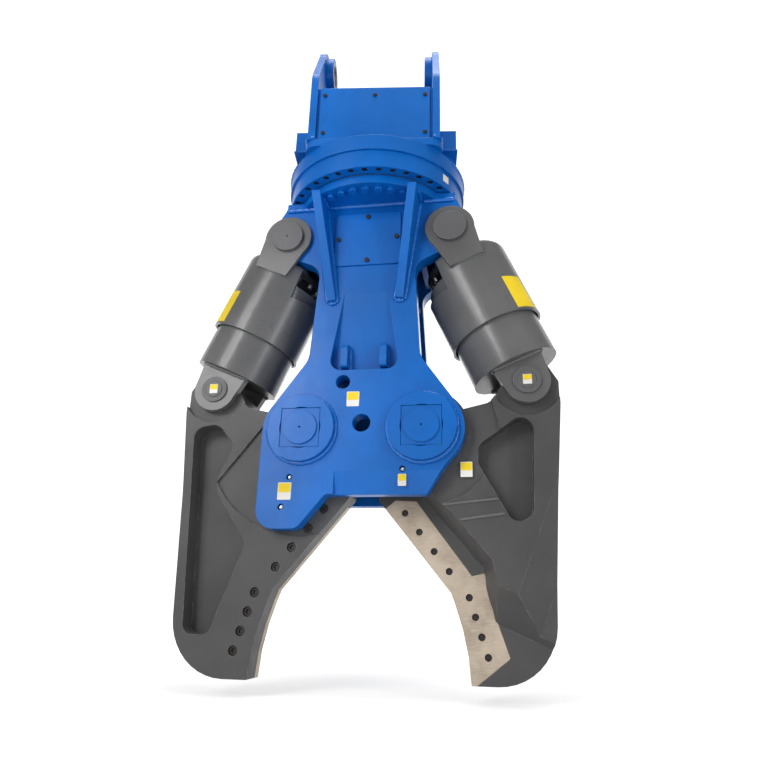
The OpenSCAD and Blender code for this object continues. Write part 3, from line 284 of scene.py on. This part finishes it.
def painted(name, colour, scuff_and_highlight_colour, rough, coat=0.0, peel=260.0, bump=0.06, wear=0.8, dust=0.25,
            radius=0.003):
    material, tree, shader = new_material(name)
    edges = use_group(tree, EDGES, Radius=radius, Patches=28.0)
    skin = use_group(tree, SKIN, Clouds=2.6, Peel=peel)
    settled = use_group(tree, DUST, Level=dust)
    tone = mix_colour(tree, smooth_range(tree, skin.outputs["Tone"], 0.3, 0.7),
                      shade(colour, 0.82), shade(colour, 1.14))
    # Edges go towards the lighter scuffed colour, partly as chipped paint and partly as a painted
    # highlight; scratches go there too.
    edge_chips_and_highlight = math_node(tree, "MULTIPLY", edges.outputs["Wear_and_highlight"], wear, clamp=True)
    rubbed = math_node(tree, "MULTIPLY", skin.outputs["Scuff"], 0.16)
    worn_and_lit = math_node(tree, "MAXIMUM", edge_chips_and_highlight, rubbed)
    base = mix_colour(tree, worn_and_lit, tone, scuff_and_highlight_colour)
    dusty = mix_colour(tree, settled.outputs["Dust"], base, (0.30, 0.28, 0.25))
    tree.links.new(dusty, shader.inputs["Base Color"])
    gloss = add(tree, "ShaderNodeMapRange")
    gloss.inputs["From Min"].default_value = 0.3
    gloss.inputs["From Max"].default_value = 0.7
    gloss.inputs["To Min"].default_value = rough - 0.07
    gloss.inputs["To Max"].default_value = rough + 0.13
    tree.links.new(skin.outputs["Gloss"], gloss.inputs["Value"])
    tree.links.new(gloss.outputs[0], shader.inputs["Roughness"])
    lift = add(tree, "ShaderNodeBump")
    lift.inputs["Strength"].default_value = bump
    lift.inputs["Distance"].default_value = 0.002
    tree.links.new(skin.outputs["Height"], lift.inputs["Height"])
    tree.links.new(edges.outputs["Normal"], lift.inputs["Normal"])
    tree.links.new(lift.outputs[0], shader.inputs["Normal"])
    shader.inputs["Metallic"].default_value = 0.0
    shader.inputs["Coat Weight"].default_value = coat
    shader.inputs["Coat Roughness"].default_value = 0.18
    shader.inputs["Specular IOR Level"].default_value = 0.24
    return material


def metal(name, colour, dark, rough, metallic=1.0, fine=60.0, bump=0.12, wear=0.6, radius=0.002):
    material, tree, shader = new_material(name)
    edges = use_group(tree, EDGES, Radius=radius, Patches=40.0)
    marks = use_group(tree, MARKS, Fine=fine)
    blotches = smooth_range(tree, marks.outputs["Blotch"], 0.35, 0.75)
    stained = mix_colour(tree, blotches, colour, dark)
    streaked = mix_colour(
        tree,
        math_node(tree, "MULTIPLY", smooth_range(tree, marks.outputs["Streak"], 0.4, 0.65), 0.35),
        stained, shade(colour, 1.25),
    )
    # Edges are lightened partly as bright worn metal and partly as a painted highlight along them.
    bright = math_node(tree, "MULTIPLY", edges.outputs["Wear_and_highlight"], wear, clamp=True)
    base = mix_colour(tree, bright, streaked, shade(colour, 1.6))
    tree.links.new(base, shader.inputs["Base Color"])
    gloss = add(tree, "ShaderNodeMapRange")
    gloss.inputs["From Min"].default_value = 0.3
    gloss.inputs["From Max"].default_value = 0.7
    gloss.inputs["To Min"].default_value = rough - 0.08
    gloss.inputs["To Max"].default_value = rough + 0.15
    tree.links.new(marks.outputs["Blotch"], gloss.inputs["Value"])
    tree.links.new(gloss.outputs[0], shader.inputs["Roughness"])
    lift = add(tree, "ShaderNodeBump")
    lift.inputs["Strength"].default_value = bump
    lift.inputs["Distance"].default_value = 0.001
    tree.links.new(marks.outputs["Height"], lift.inputs["Height"])
    tree.links.new(edges.outputs["Normal"], lift.inputs["Normal"])
    tree.links.new(lift.outputs[0], shader.inputs["Normal"])
    shader.inputs["Metallic"].default_value = metallic
    return material


BLUE = (0.0, 0.122, 0.480)
GREY = (0.118, 0.119, 0.121)

finishes = {
    "blue": painted("blue_paint", BLUE, (0.02, 0.22, 0.60), 0.34, coat=0.08),
    # The bead paint is the blue made lighter, a painted highlight on the beads.
    "blue_weld": painted("blue_weld_bead_painted_highlight", shade(BLUE, 1.15), (0.10, 0.34, 0.80), 0.20, coat=0.45,
                         wear=0.35, radius=0.001),
    "grey": painted("grey_paint", GREY, (0.26, 0.26, 0.26), 0.30, coat=0.30, wear=0.8),
    # The bead paint is the grey made lighter, a painted highlight on the beads.
    "grey_weld": painted("grey_weld_bead_painted_highlight", shade(GREY, 1.1), (0.34, 0.34, 0.35), 0.28, coat=0.2,
                         wear=0.35, radius=0.001),
    "jaw": painted("jaw_primer", (0.074, 0.073, 0.073), (0.30, 0.29, 0.28), 0.44, coat=0.08,
                   peel=150.0, bump=0.20, wear=0.95, dust=0.35),
    "dark": painted("dark_paint", (0.022, 0.022, 0.024), (0.10, 0.10, 0.10), 0.42),
    "blade": metal("ground_blade", (0.50, 0.42, 0.33), (0.33, 0.27, 0.21), 0.46, metallic=0.55,
                   fine=80.0),
    "bolt": metal("black_bolt", (0.030, 0.030, 0.032), (0.055, 0.045, 0.040), 0.42, metallic=0.8),
    "plated": metal("plated_steel", (0.60, 0.60, 0.59), (0.42, 0.41, 0.38), 0.34),
    "steel": metal("machined_steel", (0.42, 0.41, 0.40), (0.28, 0.27, 0.26), 0.36),
    "bush": metal("bush_steel", (0.33, 0.32, 0.31), (0.20, 0.19, 0.18), 0.38),
    "bronze": metal("bronze_washer", (0.52, 0.32, 0.12), (0.35, 0.20, 0.08), 0.36),
    "rod": metal("rod_chrome", (0.72, 0.72, 0.74), (0.62, 0.62, 0.64), 0.12, fine=20.0, bump=0.03),
    "pin": painted("pin_paint", (0.120, 0.120, 0.124), (0.30, 0.30, 0.30), 0.38, wear=0.9),
    "yellow": painted("yellow_tag", (0.85, 0.62, 0.02), (0.90, 0.80, 0.45), 0.45, wear=0.4,
                      bump=0.01, radius=0.0005),
    "white": painted("white_tag", (0.78, 0.77, 0.72), (0.60, 0.58, 0.52), 0.5, wear=0.4,
                     bump=0.01, radius=0.0005),
}

SLOT_FINISH = {
    "blue_paint": "blue", "grey_paint": "grey", "dark_paint": "dark", "blade_steel": "blade",
    "black_bolt": "bolt", "plated_steel": "plated", "rod_chrome": "rod", "bronze": "bronze",
    "gear_steel": "steel", "race_steel": "steel", "bush_steel": "bush",
}
NODE_FINISH = {
    "left_jaw": "jaw", "right_jaw": "jaw",
    "left_eye_pin": "pin", "right_eye_pin": "pin",
    "left_rod_pin": "pin", "right_rod_pin": "pin",
}


def give_finish(piece, name):
    piece.data.materials.clear()
    piece.data.materials.append(finishes[name])


for part in frame["record"]["subparts"]:
    name = part["node"]
    give_finish(nodes[name], NODE_FINISH.get(name, SLOT_FINISH[part["material_slot"]]))


# New pieces


def keep(name, mesh, body, finish):
    piece = bpy.data.objects.new(name, mesh)
    bpy.context.scene.collection.objects.link(piece)
    give_finish(piece, finish)
    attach(piece, body)
    return piece


def close_points(points, step):
    """Points of a path about one step apart."""
    out = [points[0]]
    for a, b in zip(points, points[1:]):
        count = max(1, round((b - a).length / step))
        out += [a.lerp(b, i / count) for i in range(1, count + 1)]
    return out


def weld(name, body, place, paths, radius, finish, step=5.0):
    """Rippled weld bead along each path, which is given in the millimetres of its place."""
    curve = bpy.data.curves.new(name, "CURVE")
    curve.dimensions = "3D"
    curve.bevel_depth = radius * MM
    curve.bevel_resolution = 2
    curve.use_fill_caps = True
    for number, path in enumerate(paths):
        points = close_points([Vector(p) for p in path], step)
        spline = curve.splines.new("POLY")
        spline.points.add(len(points) - 1)
        for i, point in enumerate(points):
            spline.points[i].co = (*(place @ point), 1.0)
            swell = 0.10 * math.sin(1.7 * i + number) * math.sin(0.31 * i)
            end = min(1.0, 0.55 + 0.25 * min(i, len(points) - 1 - i))
            spline.points[i].radius = (1.0 if i % 2 else 0.74) * end * (1 + swell)
    holder = bpy.data.objects.new(name + "_path", curve)
    bpy.context.scene.collection.objects.link(holder)
    graph = bpy.context.evaluated_depsgraph_get()
    mesh = bpy.data.meshes.new_from_object(holder.evaluated_get(graph))
    bpy.data.objects.remove(holder)
    for face in mesh.polygons:
        face.use_smooth = True
    return keep(name, mesh, body, finish)


def ring_path(x, y, z, r, start=0, stop=360, count=96):
    return [
        (x + r * math.cos(math.radians(start + (stop - start) * i / count)), y,
         z + r * math.sin(math.radians(start + (stop - start) * i / count)))
        for i in range(count + 1)
    ]


def flat_ring(x, y, z, r, start=0, stop=360, count=120):
    return [
        (x + r * math.cos(math.radians(start + (stop - start) * i / count)),
         y + r * math.sin(math.radians(start + (stop - start) * i / count)), z)
        for i in range(count + 1)
    ]


def rib_welds():
    """Round the four sides of each rib, and along the plate under the deck."""
    paths = []
    y = -PLATE_FACE - 1
    for side in (-1, 1):
        for flank in (-1, 1):
            foot = side * RIB_FOOT_X + flank * 15
            top = foot + side * RIB_RISE * math.tan(LEAN)
            paths.append([(foot, y, RIB_FOOT_Z + 1), (top, y, DECK_Z - 1)])
            paths.append([(top, y, DECK_Z), (top, -RIB_EDGE, DECK_Z)])
        paths.append([
            (side * RIB_FOOT_X - 14, y, RIB_FOOT_Z),
            (side * RIB_FOOT_X + 14, y, RIB_FOOT_Z),
        ])
        paths.append([(side * 281, y, DECK_Z), (side * 174, y, DECK_Z)])
    paths.append([(-137, y, DECK_Z), (137, y, DECK_Z)])
    return paths


def window_floor(z):
    """Depth of the sloping floor of the window at the height z."""
    return -PLATE_FACE - 1 + (WINDOW_TOP - z) * WINDOW_SLOPE


def lug_welds():
    paths = []
    for side in (-1, 1):
        for flank in (-1, 1):
            x = side * LUG_X + flank * 12
            paths.append([
                (x, window_floor(LUG_FOOT), LUG_FOOT),
                (x, window_floor(LUG_HEAD), LUG_HEAD),
            ])
        paths.append([
            (side * LUG_X - 10, window_floor(LUG_HEAD), LUG_HEAD + 2),
            (side * LUG_X + 10, window_floor(LUG_HEAD), LUG_HEAD + 2),
        ])
    return paths


def web_welds():
    return [[(side * WEB_X, y, 224), (side * WEB_X, y, 500)]
            for side in (-1, 1) for y in (-WEB_Y, WEB_Y)]


for half, side_name in ((0, "front"), (180, "rear")):
    place = body_place(half)
    weld("rib_welds_" + side_name, "body", place, rib_welds(), 10.5, "blue_weld")
    weld("collar_welds_" + side_name, "body", place,
         [ring_path(x, -PLATE_FACE - 1, 0, 102.5) for x in (-HUB_X, HUB_X)],
         8.5, "blue_weld")
    weld("lug_welds_" + side_name, "body", place, lug_welds(), 5.5, "blue_weld")
weld("web_welds", "body", body_place(), web_welds(), 7.5, "blue_weld")


def bracket_welds():
    paths = []
    for side in (-1, 1):
        for x in (218, 188):
            spans = ((-250, -172), (-2, 250)) if x == 218 else ((-230, -172), (-2, 230))
            for low, high in spans:
                paths.append([(side * x, low, 3), (side * x, high, 3)])
        paths.append([(side * 204, -256, 4), (side * 192, -256, 4)])
    return paths


weld("ear_welds", "bracket", bracket_place(), bracket_welds(), 7.0, "blue_weld")
weld("skirt_welds", "bracket", bracket_place(),
     [flat_ring(0, 0, -29, 304.5, start, stop, 60) for start, stop in ((148, 212), (-32, 32))],
     5.0, "blue_weld")


def sleeve_welds():
    """Outside of the lugs only: the jaw arm swings close by their inner faces."""
    paths = []
    z = -SLEEVE_END - 2
    for side in (-1, 1):
        paths.append([(-76, side * 105, z), (76, side * 105, z)])
        for n in (-79, 79):
            paths.append([(n, side * 86, z), (n, side * 104, z)])
    return paths


def cheek_welds():
    """Round the flat end of each cheek, on the guard."""
    paths = []
    for side in (-1, 1):
        outline = []
        for n, s in ((-64, 92), (-56, 128), (56, 128), (64, 92)):
            outline.append((n, s))
        fine = []
        for (n0, s0), (n1, s1) in zip(outline, outline[1:]):
            for i in range(9):
                n, s = n0 + (n1 - n0) * i / 8, s0 + (s1 - s0) * i / 8
                fine.append((n, side * (math.sqrt(GUARD_R ** 2 - n ** 2) + 0.5), -s - 1))
        paths.append(fine)
    return paths


for half, side in ((0, "left"), (180, "right")):
    place = cylinder_place(half)
    weld(side + "_sleeve_welds", side + "_ram", place, sleeve_welds(), 7.0, "grey_weld")
    weld(side + "_cheek_welds", side + "_cylinder", place, cheek_welds(), 3.0, "grey_weld")


def flat_tag(name, body, place, x, z, y, width, height, finish, lift=0.0):
    """Blank tag with rounded corners, glued on a face that looks along -Y."""
    shape = bmesh.new()
    bmesh.ops.create_cube(shape, size=1.0)
    bmesh.ops.scale(shape, vec=(width, 0.8, height), verts=shape.verts)
    upright = [e for e in shape.edges if abs(e.verts[0].co.y - e.verts[1].co.y) > 0.1]
    bmesh.ops.bevel(shape, geom=upright, offset=2.5, segments=4, profile=0.5, affect="EDGES",
                    material=-1)
    bmesh.ops.translate(shape, vec=(x, y - 0.4 - lift, z), verts=shape.verts)
    bmesh.ops.transform(shape, matrix=place, verts=shape.verts)
    mesh = bpy.data.meshes.new(name)
    shape.to_mesh(mesh)
    shape.free()
    return keep(name, mesh, body, finish)


def two_tone_tag(name, body, place, x, z, y, width=38, height=46):
    flat_tag(name + "_base", body, place, x, z, y, width, height, "white")
    flat_tag(name + "_top", body, place, x, z + 0.19 * height, y, 0.9 * width, 0.52 * height,
             "yellow", lift=0.5)


def guard_tag(name, body, place, first, last, low, high):
    """Blank sheet wrapped on the guard between two angles, from low to high below the pin."""
    shape = bmesh.new()
    bmesh.ops.create_grid(shape, x_segments=16, y_segments=2, size=0.5)
    for vert in shape.verts:
        angle = math.radians(first + (vert.co.x + 0.5) * (last - first))
        s = low + (vert.co.y + 0.5) * (high - low)
        vert.co = (GUARD_R * -math.sin(angle), -GUARD_R * math.cos(angle), -s)
    bmesh.ops.recalc_face_normals(shape, faces=shape.faces)
    bmesh.ops.solidify(shape, geom=shape.faces[:], thickness=-0.8)
    bmesh.ops.recalc_face_normals(shape, faces=shape.faces)
    bmesh.ops.transform(shape, matrix=place, verts=shape.verts)
    mesh = bpy.data.meshes.new(name)
    shape.to_mesh(mesh)
    shape.free()
    return keep(name, mesh, body, "yellow")


def race_tag():
    """Blank sheet wrapped on the outer race, at the right of its front."""
    shape = bmesh.new()
    bmesh.ops.create_grid(shape, x_segments=8, y_segments=2, size=0.5)
    for vert in shape.verts:
        angle = math.radians(-38 + 5.5 * vert.co.x)
        vert.co = (RACE_R * math.cos(angle), RACE_R * math.sin(angle), -108 + 26 * vert.co.y)
    bmesh.ops.recalc_face_normals(shape, faces=shape.faces)
    bmesh.ops.solidify(shape, geom=shape.faces[:], thickness=-0.8)
    bmesh.ops.recalc_face_normals(shape, faces=shape.faces)
    bmesh.ops.transform(shape, matrix=bracket_place(), verts=shape.verts)
    mesh = bpy.data.meshes.new("race_tag")
    shape.to_mesh(mesh)
    shape.free()
    return keep("race_tag", mesh, "bracket", "white")


for half, end in ((0, "front"), (180, "rear")):
    place = body_place(half)
    two_tone_tag("plate_tag_" + end, "body", place, -28, 90, -PLATE_FACE)
    two_tone_tag("lobe_tag_" + end, "body", place, -219, -184, -PLATE_FACE, 40, 50)
race_tag()
for half, side in ((0, "left"), (180, "right")):
    place = cylinder_place(half)
    for end, (first, last) in (("front", (29, 60)), ("rear", (120, 151))):
        guard_tag(f"{side}_guard_tag_{end}", side + "_cylinder", place, first, last, 222, 338)


def jaw_strips():
    """Welded edges of the wear strips on the raised face of a jaw."""
    return [
        [(233, -JAW_FACE - 1, -216), (391, -JAW_FACE - 1, -200)],
        [(282, -JAW_FACE - 1, -258), (407, -JAW_FACE - 1, -241)],
    ]


for half, end, near, far in ((0, "front", "right", "left"), (180, "rear", "left", "right")):
    place = body_place(half)
    weld("jaw_strip_welds_" + near, near + "_jaw", place, jaw_strips(), 4.5, "grey_weld")
    two_tone_tag("heel_tag_" + end, "body", place, 123, -154, -PLATE_FACE, 24, 34)
    two_tone_tag(near + "_jaw_tag", near + "_jaw", place, 302, -116, -JAW_FACE, 34, 44)
    two_tone_tag(near + "_pin_tag_" + end, near + "_ram", place, PIN_X, PIN_Z, -PIN_KNOB, 26, 30)
    two_tone_tag(far + "_pin_tag_" + end, far + "_ram", place, -PIN_X, PIN_Z, -PIN_KNOB, 26, 30)


# Stage, lights and camera


def build_stage():
    shape = bmesh.new()
    low = shape.verts.new((-14, -7, FLOOR_Z))
    high = shape.verts.new((14, -7, FLOOR_Z))
    edge = shape.edges.new((low, high))
    steps = [(-7 + 12, 0)] + [
        (5 + 2.5 * math.sin(math.radians(a)), 2.5 - 2.5 * math.cos(math.radians(a)))
        for a in range(10, 91, 10)
    ] + [(7.5, 12)]
    rim = [edge]
    for y, rise in steps:
        grown = bmesh.ops.extrude_edge_only(shape, edges=rim)["geom"]
        verts = [v for v in grown if isinstance(v, bmesh.types.BMVert)]
        rim = [e for e in grown if isinstance(e, bmesh.types.BMEdge)
               and all(v in verts for v in e.verts)]
        for v in verts:
            v.co.y, v.co.z = y, FLOOR_Z + rise
    mesh = bpy.data.meshes.new("pale_sweep")
    bmesh.ops.recalc_face_normals(shape, faces=shape.faces)
    shape.to_mesh(mesh)
    shape.free()
    for face in mesh.polygons:
        face.use_smooth = True
    sweep = bpy.data.objects.new("pale_sweep", mesh)
    bpy.context.scene.collection.objects.link(sweep)
    material, tree, shader = new_material("pale_sweep")
    shader.inputs["Base Color"].default_value = (0.82, 0.82, 0.82, 1)
    shader.inputs["Roughness"].default_value = 0.9
    path = add(tree, "ShaderNodeLightPath")
    seen = math_node(tree, "MAXIMUM", path.outputs["Is Camera Ray"],
                     path.outputs["Is Glossy Ray"])
    seen = math_node(tree, "MAXIMUM", seen, path.outputs["Is Transmission Ray"])
    place = add(tree, "ShaderNodeTexCoord").outputs["Object"]
    away = add(tree, "ShaderNodeVectorMath", operation="LENGTH")
    tree.links.new(place, away.inputs[0])
    far = smooth_range(tree, away.outputs["Value"], NEAR_FLOOR, FAR_FLOOR)
    level = math_node(tree, "MULTIPLY_ADD", far, 0.50, 0.44)
    glow = math_node(tree, "MULTIPLY", seen, level)
    shader.inputs["Emission Color"].default_value = (1, 1, 1, 1)
    tree.links.new(glow, shader.inputs["Emission Strength"])
    sweep.data.materials.append(material)


def build_world():
    world = bpy.data.worlds.new("studio")
    bpy.context.scene.world = world
    world.use_nodes = True
    tree = world.node_tree
    tree.nodes.clear()
    out = add(tree, "ShaderNodeOutputWorld")
    soft = add(tree, "ShaderNodeBackground")
    soft.inputs["Color"].default_value = (1, 1, 1, 1)
    soft.inputs["Strength"].default_value = 0.30
    white = add(tree, "ShaderNodeBackground")
    white.inputs["Strength"].default_value = 1.0
    white.inputs["Color"].default_value = (1, 1, 1, 1)
    blend = add(tree, "ShaderNodeMixShader")
    path = add(tree, "ShaderNodeLightPath")
    tree.links.new(path.outputs["Is Camera Ray"], blend.inputs[0])
    tree.links.new(soft.outputs[0], blend.inputs[1])
    tree.links.new(white.outputs[0], blend.inputs[2])
    tree.links.new(blend.outputs[0], out.inputs[0])


def soft_lamp(name, at, target, size, power):
    lamp = bpy.data.lights.new(name, "AREA")
    lamp.shape = "RECTANGLE"
    lamp.size, lamp.size_y = size
    lamp.energy = power
    holder = bpy.data.objects.new(name, lamp)
    bpy.context.scene.collection.objects.link(holder)
    holder.location = at
    holder.rotation_euler = (Vector(target) - Vector(at)).to_track_quat("-Z", "Y").to_euler()


def build_lights():
    middle = (0, 0.05, -1.1)
    soft_lamp("key", (-2.6, -3.6, 0.6), middle, (1.7, 1.7), 78)
    soft_lamp("fill", (3.2, -3.0, -1.2), middle, (1.6, 2.4), 20)
    soft_lamp("under", (0.3, -3.2, -1.95), middle, (3.0, 1.0), 10)
    soft_lamp("top", (0.2, -0.6, 2.6), middle, (2.0, 2.0), 70)
    soft_lamp("strip", (-1.5, -2.6, -0.9), (0, 0, -1.0), (0.25, 2.2), 16)
    soft_lamp("right_strip", (2.2, -2.0, -0.7), (0, 0, -1.0), (0.25, 2.2), 14)
    soft_lamp("back", (0.5, 3.6, 0.4), middle, (3.0, 2.0), 40)


def build_camera():
    camera = bpy.data.cameras.new("camera")
    camera.sensor_fit = "HORIZONTAL"
    camera.sensor_width = 36.0
    camera.lens = 36.0 * 655.14 / 768
    camera.clip_end = 60
    holder = bpy.data.objects.new("camera", camera)
    bpy.context.scene.collection.objects.link(holder)
    turn = Matrix.Rotation(math.radians(-6.474), 3, "Z")
    right = turn @ Vector((0.9869, 0.1594, 0.0240))
    down = turn @ Vector((-0.0305, 0.3307, -0.9432))
    ahead = turn @ Vector((-0.1583, 0.9302, 0.3313))
    axes = Matrix((right, -down, -ahead)).transposed().to_4x4()
    holder.matrix_world = Matrix.Translation((0.1505, -1.9077, -1.8767)) @ axes
    bpy.context.scene.camera = holder


build_stage()
build_world()
build_lights()
build_camera()
bpy.context.scene.view_settings.view_transform = "Standard"
